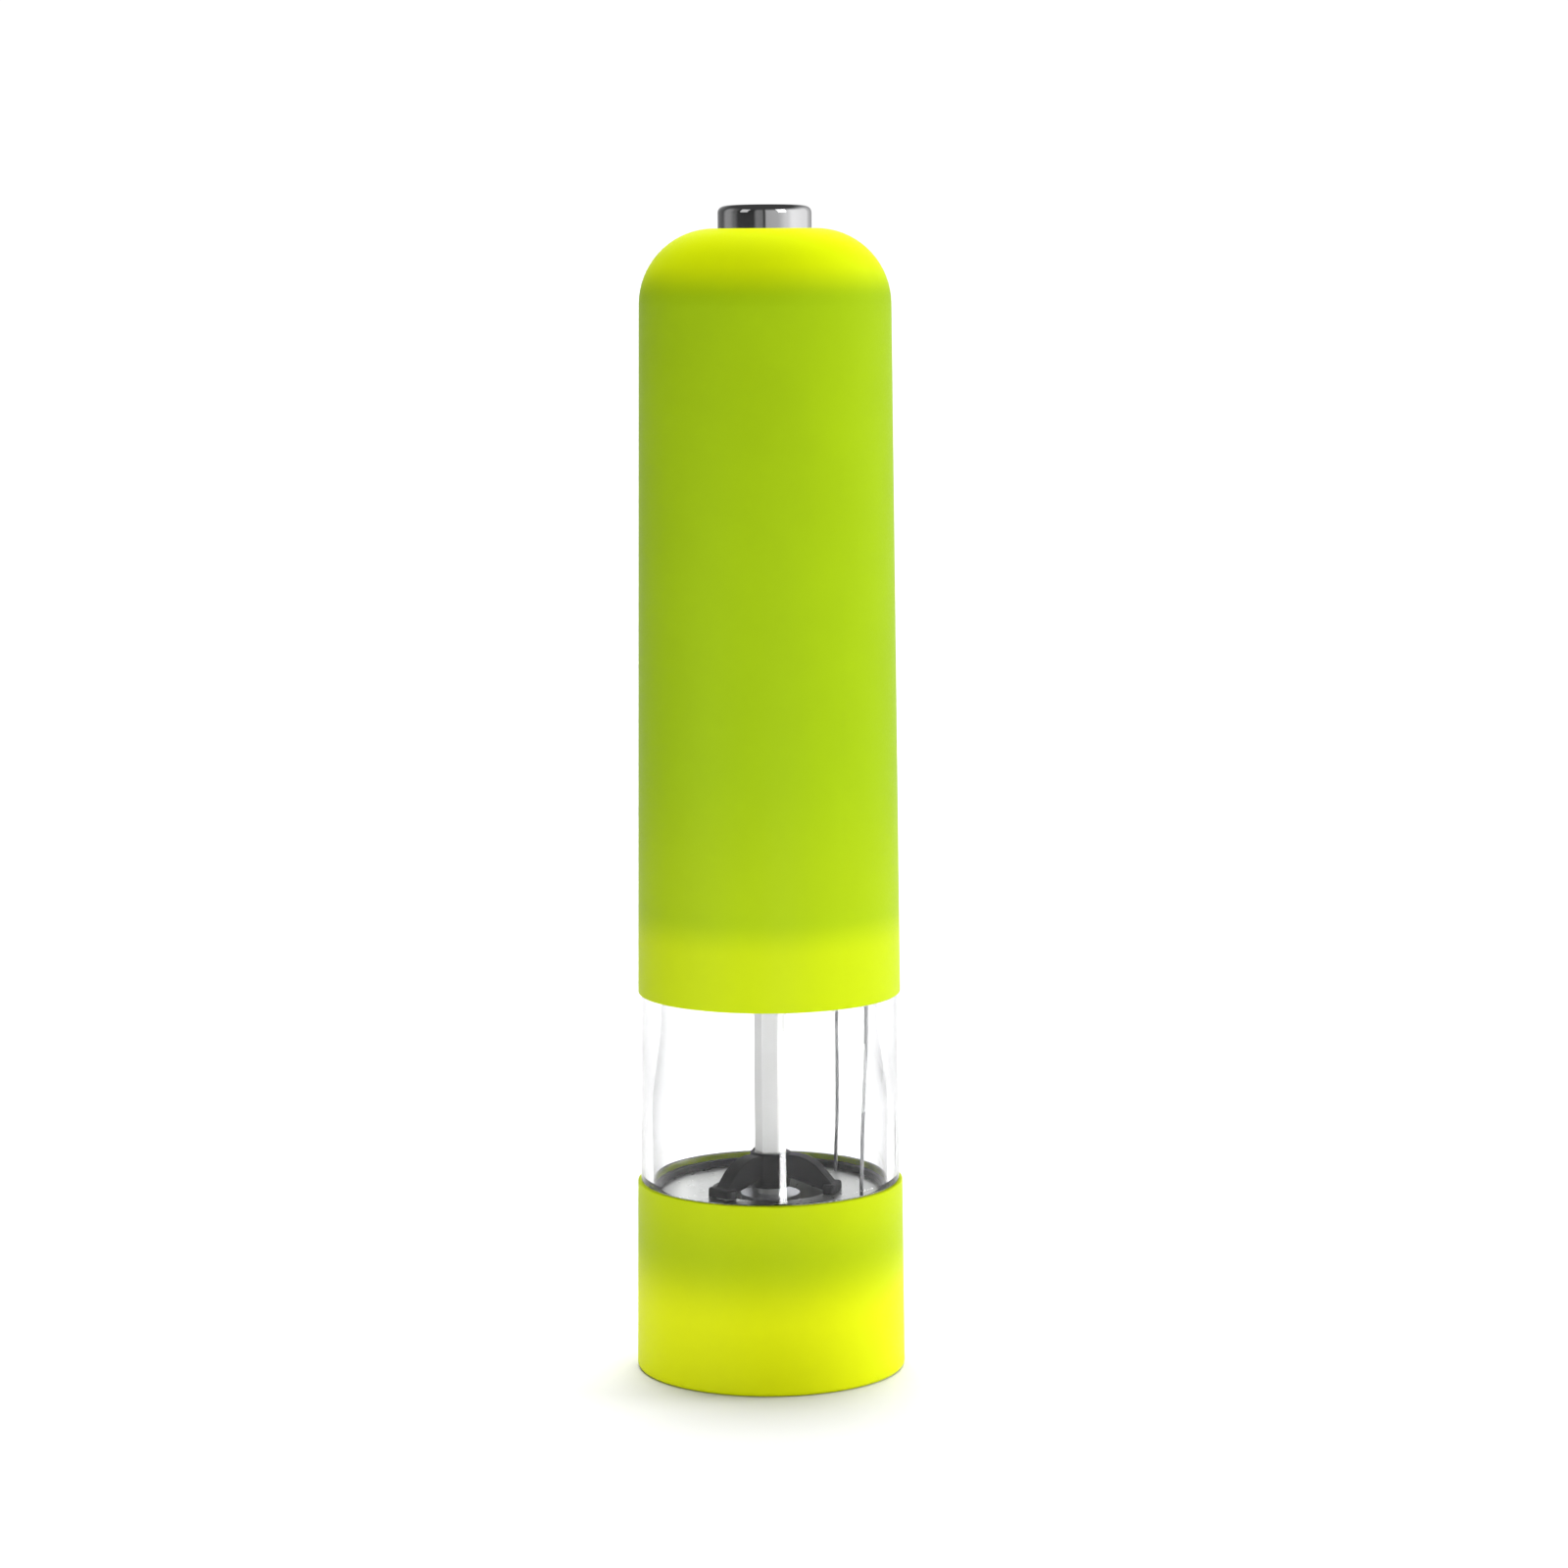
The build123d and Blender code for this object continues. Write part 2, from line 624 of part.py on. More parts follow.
def unit_base():
    """Floor of the power unit, with a skirt that drops over the container's neck."""
    plate = rod(UNIT_RADIUS, UNIT_PLATE_BOTTOM, UNIT_PLATE_TOP)
    skirt = tube(UNIT_RADIUS, NECK_RADIUS + SKIRT_GAP, WINDOW_TOP, UNIT_PLATE_BOTTOM + 0.5)
    base = plate + skirt - rod(SOCKET_RADIUS + 1.6, 70, 90)
    for angle in KEY_ANGLES:
        half = KEY_WIDTH / 2 + 0.15
        base = base - turned(block((NECK_RADIUS - 1, UNIT_RADIUS + 1), (-half, half), (70, 75.3)), angle)
    for angle in UNIT_SCREW_ANGLES:
        base = base - rod(SCREW_WAY, 79, 84, polar(UNIT_SCREW_CIRCLE, angle))
    for top in ROD_TOPS:
        base = base - rod(PAD_RADIUS + 0.05, UNIT_PLATE_BOTTOM - 1, UNIT_PLATE_TOP + 1, top)
    return base


def lamp_contact_pads():
    """Sprung pads that meet the two rods when the power unit is on."""
    pads = []
    for top in ROD_TOPS:
        pin = rod(PAD_RADIUS, NECK_TOP, UNIT_PLATE_TOP, top)
        pads.append(pin + rod(PAD_RADIUS + 0.5, UNIT_PLATE_TOP, UNIT_PLATE_TOP + 0.5, top))
    return group(pads)


def output_bush():
    return tube(SOCKET_RADIUS + 1.6, SOCKET_RADIUS + RUNNING, UNIT_PLATE_BOTTOM, UNIT_PLATE_TOP + 0.5)


def gearbox_housing():
    """Cup over the ring gear, with a foot flange and the motor's mounting face on top."""
    shell = tube(GEARBOX_RADIUS, GEARBOX_BORE, UNIT_PLATE_TOP, GEARBOX_TOP - 1)
    lid = rod(GEARBOX_RADIUS, GEARBOX_TOP - 2, GEARBOX_TOP) - rod(4.1, 90, 110)
    foot = tube(22.0, GEARBOX_BORE, UNIT_PLATE_TOP, UNIT_PLATE_TOP + 2)
    housing = shell + lid + foot
    for angle in range(0, 360, 40):
        rib = block((GEARBOX_RADIUS - 0.5, 18.8), (-0.6, 0.6), (84.5, GEARBOX_TOP - 3))
        housing = housing + turned(rib, angle + 10)
    for side in (-1, 1):
        housing = housing - rod(SCREW_WAY, 95, 110, (side * MOTOR_SCREW_OFFSET, 0))
    for angle in UNIT_SCREW_ANGLES:
        housing = housing - rod(SCREW_HOLE, 80, 88, polar(UNIT_SCREW_CIRCLE, angle))
    for top in ROD_TOPS:
        housing = housing - rod(PAD_RADIUS + 0.8, UNIT_PLATE_TOP - 1, UNIT_PLATE_TOP + 5, top)
    return housing


def unit_screws():
    """Identical screws: three up into the gearbox's foot, and two down into the motor frame."""
    head_low = UNIT_PLATE_BOTTOM - SCREW_HEAD_HEIGHT
    screws = []
    for angle in UNIT_SCREW_ANGLES:
        screws.append(pan_screw(*polar(UNIT_SCREW_CIRCLE, angle), head_low, SCREW_LENGTH, head=1.7))
    for x, y in CRADLE_SCREWS:
        screws.append(pan_screw(x, y, CRADLE_FLOOR, SCREW_LENGTH, up=False, head=1.7))
    return group(screws)


def output_carrier():
    """Last stage's carrier, with the hexagonal socket that drives the shaft."""
    plate_low = UNIT_PLATE_TOP + 0.8
    carrier = rod(CARRIER_RADIUS, plate_low, plate_low + 1.8)
    carrier = carrier + rod(SOCKET_RADIUS, SOCKET_BOTTOM, plate_low + 0.5)
    for angle in PLANET_ANGLES:
        carrier = carrier + rod(PIN_RADIUS, plate_low + 1, 92.0, polar(PLANET_CIRCLE, angle))
    return carrier - hexagon_bar(SHAFT_FLATS + 2 * RUNNING, SOCKET_BOTTOM - 1, SHAFT_TOP + 0.4)


def first_carrier():
    """First stage's carrier, with the second stage's sun on its underside."""
    plate_low = 92.6
    carrier = rod(CARRIER_RADIUS, plate_low, plate_low + 1.6)
    carrier = carrier + spur_gear(SUN_TEETH, 86.2, plate_low + 0.2)
    for angle in PLANET_ANGLES:
        carrier = carrier + rod(PIN_RADIUS, plate_low + 1, 100.4, polar(PLANET_CIRCLE, angle))
    return carrier


def motor_pinion():
    return spur_gear(SUN_TEETH, 95.0, 101.0) - rod(MOTOR_SHAFT, 90, 110)


def flattened(radius, flats, low, high):
    """A round bar with two flat sides."""
    return rod(radius, low, high) & block((-50, 50), (-flats / 2, flats / 2), (low, high))


def motor_can():
    """Pressed steel can with two flat sides and a bearing boss at its drive end."""
    can = flattened(MOTOR_RADIUS, MOTOR_FLATS, GEARBOX_TOP, MOTOR_TOP)
    can = can - flattened(MOTOR_RADIUS - 0.8, MOTOR_FLATS - 1.6, GEARBOX_TOP + 1, MOTOR_TOP + 1)
    can = can + rod(4.0, GEARBOX_TOP - 1.6, GEARBOX_TOP + 1) - rod(MOTOR_SHAFT + RUNNING, 95, 110)
    for side in (-1, 1):
        can = can - rod(0.95, 100, 106, (side * MOTOR_SCREW_OFFSET, 0))
    return can


def motor_end_cap():
    """Nylon end cap with the rear bearing and two terminals."""
    cap = flattened(MOTOR_RADIUS, MOTOR_FLATS, MOTOR_TOP, MOTOR_TOP + 1.6)
    cap = cap + rod(3.2, MOTOR_TOP, MOTOR_TOP + 3) - rod(MOTOR_SHAFT + RUNNING, 120, 140)
    for side in (-1, 1):
        cap = cap + block((side * 8 - 0.25, side * 8 + 0.25), (-1.4, 1.4), (MOTOR_TOP + 1, MOTOR_TOP + 4.2))
    return cap


def motor_magnets():
    """Two arc magnets on the can's wall."""
    magnets = []
    for middle in (0, 180):
        magnets.append(arc_strip(10.2, 2.2, 107, 127, middle - 50, middle + 50))
    return group(magnets)


def motor_screws():
    screws = []
    for side in (-1, 1):
        screws.append(pan_screw(side * MOTOR_SCREW_OFFSET, 0, 0, 3.4, head=1.8, head_height=0.9))
    return group([Pos(0, 0, GEARBOX_TOP - 2.9) * s for s in screws])


def motor_frame():
    """Windowed tube from the gearbox up to the battery cradle."""
    low = UNIT_PLATE_TOP + 2
    frame = tube(FRAME_RADIUS, FRAME_RADIUS - 1.4, low, FRAME_TOP)
    for angle in (90, 270):
        window = block((10, 30), (-8, 8), (GEARBOX_TOP + 3, FRAME_TOP - 5))
        frame = frame - turned(window, angle)
    for angle in (0, 180):
        notch = block((18, 25), (-1.8, 1.8), (LEAD_BOTTOM - 0.4, FRAME_TOP + 1))
        frame = frame - turned(notch, angle)
    collar = tube(FRAME_RADIUS - 1, MOTOR_RADIUS + 0.3, GEARBOX_TOP + 15, GEARBOX_TOP + 17)
    frame = frame + collar
    for x, y in CRADLE_SCREWS:
        boss = rod(2.1, FRAME_TOP - 9, FRAME_TOP, (x, y))
        frame = frame + (boss & rod(FRAME_RADIUS, FRAME_TOP - 9, FRAME_TOP))
        frame = frame - rod(0.95, FRAME_TOP - 9, FRAME_TOP + 1, (x, y))
    return frame


def rotor_shaft():
    return rod(MOTOR_SHAFT, 95.0, MOTOR_TOP + 2.6)


def armature():
    """Three-pole laminated core."""
    core = rod(3.4, 109, 124)
    for angle in (90, 210, 330):
        neck = block((0, 7.4), (-1.2, 1.2), (109, 124))
        shoe = arc_strip(7.9, 1.4, 109, 124, -48, 48)
        core = core + turned(neck + shoe, angle)
    return core - rod(MOTOR_SHAFT, 100, 130)


def armature_coils():
    """Copper windings, one on each pole's neck."""
    coils = []
    for angle in (90, 210, 330):
        outer = block((3.9, 6.6), (-2.6, 2.6), (107.2, 125.8))
        outer = fillet(outer.edges().filter_by(Axis.X), 1.0)
        hole = block((3, 8), (-1.25, 1.25), (108.95, 124.05))
        coils.append(turned(outer - hole, angle))
    return group(coils)


def commutator():
    drum = tube(2.6, MOTOR_SHAFT, 126.5, 130.8)
    for angle in (30, 150, 270):
        drum = drum - turned(block((1.7, 3), (-0.15, 0.15), (127.2, 132)), angle)
    return drum


# ---------------------------------------------------------------- batteries and switch


def cell_places():
    """(x, y, upright) of the four cells, going round."""
    c = CELL_OFFSET
    return [(c, c, True), (-c, c, False), (-c, -c, True), (c, -c, False)]


def battery(x, y, upright):
    """An AA cell with its raised positive end."""
    cell = lathe(
        (0, 0),
        (CELL_RADIUS - 0.4, 0),
        (CELL_RADIUS, 0.4),
        (CELL_RADIUS, CELL_LENGTH - 0.5),
        (CELL_RADIUS - 0.5, CELL_LENGTH),
        (2.75, CELL_LENGTH),
        (2.6, CELL_LENGTH + CELL_NUB),
        (0, CELL_LENGTH + CELL_NUB),
    )
    if not upright:
        cell = Pos(0, 0, CELL_LENGTH + CELL_NUB) * Rot(180, 0, 0) * cell
    lift = CELL_SPRING if upright else 0.05
    return Pos(x, y, CRADLE_FLOOR + CONTACT + lift) * cell


def battery_cradle():
    """Two round plates and a cross-shaped wall between the cells."""
    cradle = rod(CRADLE_RADIUS, FRAME_TOP, CRADLE_FLOOR) + rod(CRADLE_RADIUS, CRADLE_CEILING, CRADLE_TOP)
    reach = CRADLE_RADIUS - 0.4
    for angle in (0, 90):
        web = block((-reach, reach), (-0.35, 0.35), (CRADLE_FLOOR - 0.5, CRADLE_CEILING + 0.5))
        cradle = cradle + turned(web, angle)
    cradle = cradle + tube(20.4, 19.0, FRAME_TOP, CRADLE_FLOOR + 6) - rod(1.8, FRAME_TOP - 1, 141)
    for x, y, _ in cell_places():
        cradle = cradle - rod(CELL_RADIUS + 0.25, CRADLE_FLOOR, CRADLE_CEILING, (x, y))
    for angle in (0, 180):
        notch = block((CRADLE_RADIUS - 0.5, 25), (-1.8, 1.8), (FRAME_TOP - 1, CRADLE_TOP + 1))
        cradle = cradle - turned(notch, angle)
    for x, y in CRADLE_SCREWS:
        cradle = cradle - rod(1.1, FRAME_TOP - 1, CRADLE_FLOOR + 1, (x, y))
        cradle = cradle - rod(2.2, CRADLE_FLOOR, CRADLE_FLOOR + 4, (x, y))
    for strip in contact_shapes():
        cradle = cradle - strip
    return cradle


def contact_shapes():
    """Two strips over the cells, one under them, and the two end pads of the series."""
    c, half = CELL_OFFSET, 4.6
    under = (CRADLE_FLOOR, CRADLE_FLOOR + CONTACT)
    over = (CRADLE_CEILING - CONTACT, CRADLE_CEILING)
    across = (-c - half, c + half)
    strips = [block(across, (y - half, y + half), over) for y in (-c, c)]
    strips.append(block((-c - half, -c + half), across, under))
    for y in (-c, c):
        strips.append(block((c - half, c + half), (y - half, y + half), under))
    return strips


def battery_contacts():
    return group(contact_shapes())


def battery_springs():
    """Conical springs on the flat end of each cell."""
    springs = []
    for x, y, upright in cell_places():
        spring = coil(4.2, 0.3, 0, CELL_SPRING, 2.5, end_radius=2.6)
        if upright:
            springs.append(Pos(x, y, CRADLE_FLOOR + CONTACT) * spring)
        else:
            springs.append(Pos(x, y, CRADLE_CEILING - CONTACT) * Rot(180, 0, 0) * spring)
    return group(springs)


def lead_strips():
    """Two flat conductors down the sides of the cradle, from the switch to the motor's terminals."""
    outer, width = CRADLE_RADIUS - 0.05, (-1.4, 1.4)
    strips = []
    for angle in (0, 180):
        side = block((outer - CONTACT, outer), width, (LEAD_BOTTOM, CRADLE_TOP + CONTACT))
        top = block((4.5, outer), width, (CRADLE_TOP, CRADLE_TOP + CONTACT))
        foot = block((8.25, outer), width, (LEAD_BOTTOM, LEAD_BOTTOM + CONTACT))
        strips.append(turned(side + top + foot, angle))
    return group(strips)


def push_switch():
    """Momentary switch body, with two terminals on the lead strips."""
    body = block((-4.5, 4.5), (-4.5, 4.5), (CRADLE_TOP, SWITCH_TOP))
    body = fillet(body.edges().filter_by(Axis.Z), 0.6)
    collar = rod(3.0, SWITCH_TOP - 0.5, SWITCH_TOP + 1.2)
    return body + collar - rod(1.6 + RUNNING, 196, 210)


def switch_plunger():
    plunger = rod(1.6, SWITCH_TOP - 1.5, PLUNGER_TOP)
    return fillet(plunger.edges().sort_by(Axis.Z)[-1], 0.4)


# ---------------------------------------------------------------- body sleeve and button


def dome(radius_off, top, shoulder, low):
    """A solid with the sleeve's outline, drawn in by radius_off, with a rounded shoulder."""
    outline = Polyline(
        (0, low),
        (outside(low) - radius_off, low),
        (outside(top) - radius_off, top),
        (0, top),
        close=True,
    )
    face = make_face(outline)
    corner = face.vertices().sort_by(lambda v: v.X + v.Y)[-1]
    return revolve(Plane.XZ * fillet(corner, shoulder), Axis.Z)


def body_sleeve():
    """Long coloured cover that slides down over the power unit."""
    outer = dome(0, DOME_TOP, DOME_ROUND, WINDOW_TOP)
    inner = dome(SLEEVE_WALL, DOME_TOP - SLEEVE_WALL, DOME_ROUND - SLEEVE_WALL, WINDOW_TOP)
    lower_rim = [e for e in outer.edges().filter_by(GeomType.CIRCLE) if e.center().Z < WINDOW_TOP + 1]
    sleeve = fillet(lower_rim, RIM_ROUND) - inner
    for angle in BOSS_ANGLES:
        boss = rod(2.0, RETAINER_TOP, DOME_TOP - 1, polar(BOSS_CIRCLE, angle)) & outer
        sleeve = sleeve + boss - rod(SCREW_HOLE, RETAINER_TOP - 3, DOME_TOP - 3.6, polar(BOSS_CIRCLE, angle))
    sleeve = sleeve - rod(BUTTON_HOLE, 205, 220)
    rim = [
        e
        for e in sleeve.edges().filter_by(GeomType.CIRCLE)
        if abs(e.radius - BUTTON_HOLE) < 0.01 and e.center().Z > DOME_TOP - 0.1
    ]
    return chamfer(rim, 0.12)


def button_retainer():
    """Plate screwed inside the dome, which guides the stem and carries the spring."""
    plate = tube(16.4, STEM_RADIUS + 0.1, RETAINER_BOTTOM, RETAINER_TOP)
    for angle in BOSS_ANGLES:
        plate = plate - rod(SCREW_WAY, 205, 210, polar(BOSS_CIRCLE, angle))
    for angle in (0, 120, 240):
        plate = plate - rod(2.6, 205, 210, polar(BOSS_CIRCLE - 2, angle))
    return plate


def retainer_screws():
    head_low = RETAINER_BOTTOM - SCREW_HEAD_HEIGHT
    return group([pan_screw(*polar(BOSS_CIRCLE, a), head_low, 3.6, head=1.9) for a in BOSS_ANGLES])


def push_button():
    """Chromed cap: rounded top, straight side, and a flange that keeps it in the dome."""
    underside = DOME_TOP - SLEEVE_WALL - 0.1
    cap = rod(BUTTON_RADIUS, underside - 1.1, HEIGHT)
    cap = fillet(cap.edges().sort_by(Axis.Z)[-1], CAP_ROUND)
    cap = cap - Pos(0, 0, HEIGHT - DISH_DEPTH + DISH_RADIUS) * Sphere(DISH_RADIUS)
    cap = cap + rod(FLANGE_RADIUS, underside - 1.1, underside)
    return cap - rod(BUTTON_RADIUS - CAP_WALL, 200, HEIGHT - CAP_ROOF)


def button_stem():
    """Plastic stem pressed in the cap, down to the switch."""
    stem = rod(STEM_RADIUS, PLUNGER_TOP + 0.1, HEIGHT - CAP_ROOF)
    return stem + rod(BUTTON_RADIUS - CAP_WALL - 0.1, HEIGHT - CAP_ROOF - STEM_DISC, HEIGHT - CAP_ROOF)


def button_spring():
    return coil(5.2, 0.35, RETAINER_TOP, HEIGHT - CAP_ROOF - STEM_DISC, 5)


# ---------------------------------------------------------------- all pieces

PIECES = {
    "base_sleeve": base_sleeve,
    "pepper_container": pepper_container,
    "container_seal": container_seal,
    "grinder_housing": grinder_housing,
    "outer_burr": outer_burr,
    "inner_burr": inner_burr,
    "funnel_plate": funnel_plate,
    "shaft_bridge": shaft_bridge,
    "bridge_bush": bridge_bush,
    "lamp_contact_rods": lamp_contact_rods,
    "lamp_contact_strips": lamp_contact_strips,
    "lamp_led": lamp_led,
    "bottom_bridge": bottom_bridge,
    "bottom_screws": bottom_screws,
    "drive_shaft": drive_shaft,
    "spring_collar": spring_collar,
    "burr_spring": burr_spring,
    "thrust_washer": thrust_washer,
    "adjuster_stud": adjuster_stud,
    "grind_knob": grind_knob,
    "unit_base": unit_base,
    "lamp_contact_pads": lamp_contact_pads,
    "output_bush": output_bush,
    "gearbox_housing": gearbox_housing,
    "unit_screws": unit_screws,
    "ring_gear": ring_gear,
    "output_carrier": output_carrier,
    "first_carrier": first_carrier,
    "motor_pinion": motor_pinion,
    "motor_can": motor_can,
    "motor_end_cap": motor_end_cap,
    "motor_magnets": motor_magnets,
    "motor_screws": motor_screws,
    "motor_frame": motor_frame,
    "rotor_shaft": rotor_shaft,
    "armature": armature,
    "armature_coils": armature_coils,
    "commutator": commutator,
    "battery_cradle": battery_cradle,
    "battery_contacts": battery_contacts,
    "battery_springs": battery_springs,
    "lead_strips": lead_strips,
    "push_switch": push_switch,
    "switch_plunger": switch_plunger,
    "body_sleeve": body_sleeve,
    "button_retainer": button_retainer,
    "retainer_screws": retainer_screws,
    "push_button": push_button,
    "button_stem": button_stem,
    "button_spring": button_spring,
}

os.makedirs("parts", exist_ok=True)
for name, make in PIECES.items():
    export_step(make(), f"parts/{name}.step")
for number, place in enumerate(cell_places(), 1):
    export_step(battery(*place), f"parts/battery_{number}.step")
for letter, angle in zip("abc", PLANET_ANGLES):
    export_step(planet(angle, 94.6, 100.0), f"parts/first_planet_{letter}.step")
    export_step(planet(angle, 86.0, 91.6), f"parts/second_planet_{letter}.step")
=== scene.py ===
"""Studio picture of the battery pepper mill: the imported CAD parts, their materials and the finer pieces."""

import json
from math import cos, pi, radians, sin

import bmesh
import bpy
from mathutils import Matrix, Vector


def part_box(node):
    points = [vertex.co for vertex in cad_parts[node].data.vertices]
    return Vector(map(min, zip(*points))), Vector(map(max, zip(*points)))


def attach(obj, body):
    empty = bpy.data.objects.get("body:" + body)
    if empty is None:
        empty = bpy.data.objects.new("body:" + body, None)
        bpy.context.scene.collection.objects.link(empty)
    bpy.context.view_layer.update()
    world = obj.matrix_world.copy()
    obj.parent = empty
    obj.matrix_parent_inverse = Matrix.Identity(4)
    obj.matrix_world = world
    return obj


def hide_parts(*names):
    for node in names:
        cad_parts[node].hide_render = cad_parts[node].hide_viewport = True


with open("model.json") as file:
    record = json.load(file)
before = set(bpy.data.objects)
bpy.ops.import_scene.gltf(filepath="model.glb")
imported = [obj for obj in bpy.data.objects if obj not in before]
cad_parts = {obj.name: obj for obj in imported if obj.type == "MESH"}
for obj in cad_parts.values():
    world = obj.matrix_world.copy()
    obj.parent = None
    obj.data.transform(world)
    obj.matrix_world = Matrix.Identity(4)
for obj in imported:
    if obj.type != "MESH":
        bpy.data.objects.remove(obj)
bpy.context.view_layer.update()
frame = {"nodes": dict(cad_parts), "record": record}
record = frame["record"]
scene = bpy.context.scene
MM = 0.001
WHITE = (1, 1, 1)


# ---------------------------------------------------------------- shader nodes
# In these functions owner is a material or the world, and a source is a node's output.


def new_material(name):
    material = bpy.data.materials.new(name)
    material.use_nodes = True
    return material, material.node_tree.nodes["Principled BSDF"]


def coordinates(owner, space):
    """The X, Y and Z of a point, in one of the spaces of the Texture Coordinate node."""
    nodes, link = owner.node_tree.nodes, owner.node_tree.links.new
    where = nodes.new("ShaderNodeTexCoord")
    split = nodes.new("ShaderNodeSeparateXYZ")
    link(where.outputs[space], split.inputs[0])
    return split.outputs


def negative(owner, source):
    nodes, link = owner.node_tree.nodes, owner.node_tree.links.new
    node = nodes.new("ShaderNodeMath")
    node.operation = "MULTIPLY"
    node.inputs[1].default_value = -1
    link(source, node.inputs[0])
    return node.outputs[0]


def spread(owner, source, low, high, start=0.3, stop=0.7, curve="LINEAR"):
    """Maps the values from start to stop onto those from low to high, and holds them beyond that."""
    nodes, link = owner.node_tree.nodes, owner.node_tree.links.new
    ramp = nodes.new("ShaderNodeMapRange")
    ramp.interpolation_type = curve
    ramp.inputs["From Min"].default_value = start
    ramp.inputs["From Max"].default_value = stop
    ramp.inputs["To Min"].default_value = low
    ramp.inputs["To Max"].default_value = high
    link(source, ramp.inputs["Value"])
    return ramp.outputs["Result"]


def grey_ramp(owner, source, stops):
    """A grey level that follows (position, level) stops, with positions from 0 to 1."""
    nodes, link = owner.node_tree.nodes, owner.node_tree.links.new
    ramp = nodes.new("ShaderNodeValToRGB")
    ramp.color_ramp.interpolation = "EASE"
    marks = ramp.color_ramp.elements
    while len(marks) < len(stops):
        marks.new(0.5)
    for mark, (position, level) in zip(marks, stops):
        mark.position = position
        mark.color = (level, level, level, 1)
    link(source, ramp.inputs["Fac"])
    return ramp.outputs["Color"]


def blend(owner, share, first, second):
    """Mixes two colours, each a source or a value."""
    nodes, link = owner.node_tree.nodes, owner.node_tree.links.new
    mix = nodes.new("ShaderNodeMix")
    mix.data_type = "RGBA"
    link(share, mix.inputs["Factor"])
    for name, colour in (("A", first), ("B", second)):
        if isinstance(colour, bpy.types.NodeSocket):
            link(colour, mix.inputs[name])
        else:
            mix.inputs[name].default_value = (*colour, 1)
    return mix.outputs["Result"]


# ---------------------------------------------------------------- camera, lights, world and floor
# Directions round the mill are in degrees: 0 is behind the camera, 90 to its right, and 180 behind the mill.

CAMERA_DISTANCE = 0.8
CAMERA_HEIGHT = 0.213  # level with the dome
CAMERA_PITCH = 7.24  # degrees down
CAMERA_YAW = 0.216  # degrees to the right
CAMERA_ROLL = 0.32  # degrees clockwise
LENS, SENSOR = 98.5, 36  # millimetres

# How bright the studio's walls are, from 0 to 1, by direction round the mill.
WALLS = (
    (-180, 1.0), (-166, 1.0), (-156, 0.30), (-140, 0.14), (-122, 0.09), (-106, 0.29), (-96, 0.27),
    (-78, 0.12), (-66, 0.03), (-28, 0.03), (-18, 0.20), (-7, 0.18), (0, 0.04), (5, 0.42), (30, 0.45),
    (56, 0.72), (72, 0.95), (120, 0.85), (138, 0.5), (156, 0.34), (166, 1.0), (180, 1.0),
)
WALL_LIGHT = 1.08
CEILING_LIGHT = 0.05
CEILING_FROM, CEILING_TO = 0.35, 0.8  # sine of the elevation

FLOOR_HALF = 40.0  # from the mill to the floor's edge
FLOOR_SHADE, FAR_SHADE = 0.60, 0.03  # grey level round the mill, and far off on the camera's side
FAR_FROM, FAR_TO = 9.0, 12.0  # metres from the mill, where the floor turns dark


def place_camera():
    """Looks at the mill from the height of its dome, tilted down so that all of it is in the frame."""
    data = bpy.data.cameras.new("camera")
    data.lens = LENS
    data.sensor_width = SENSOR
    data.clip_start = 0.01
    camera = bpy.data.objects.new("camera", data)
    scene.collection.objects.link(camera)
    pan = Matrix.Rotation(radians(-CAMERA_YAW), 4, "Z")
    look = pan @ Matrix.Rotation(radians(90 - CAMERA_PITCH), 4, "X")
    roll = Matrix.Rotation(radians(-CAMERA_ROLL), 4, "Z")
    camera.matrix_world = Matrix.Translation((0, -CAMERA_DISTANCE, CAMERA_HEIGHT)) @ look @ roll
    scene.camera = camera


def soft_light(name, azimuth, distance, height, aim, size, power):
    """A rectangular light in a direction round the mill, turned to the mill's axis at the height aim."""
    data = bpy.data.lights.new(name, "AREA")
    data.shape = "RECTANGLE"
    data.size, data.size_y = size
    data.energy = power
    light = bpy.data.objects.new(name, data)
    angle = radians(azimuth)
    light.location = (sin(angle) * distance, -cos(angle) * distance, height)
    light.rotation_euler = (Vector((0, 0, aim)) - light.location).to_track_quat("-Z", "Y").to_euler()
    light.visible_camera = False
    scene.collection.objects.link(light)
    return light


def low_strip():
    """A narrow lamp lying in front of the mill: its reflection is the upright streak on the clear wall."""
    azimuth = 10.6
    size = (0.020, 0.25)
    light = soft_light("low_strip", azimuth, distance=0.285, height=0.004, aim=0, size=size, power=1.0)
    light.rotation_euler = (pi, 0, radians(azimuth))


def overhead(strength, width, lean):
    """A broad sun above and a little behind: it whitens the floor and the dome, not the upright walls."""
    data = bpy.data.lights.new("overhead", "SUN")
    data.energy = strength
    data.angle = radians(width)
    sun = bpy.data.objects.new("overhead", data)
    sun.rotation_euler = (radians(-lean), 0, 0)
    sun.visible_glossy = False
    scene.collection.objects.link(sun)


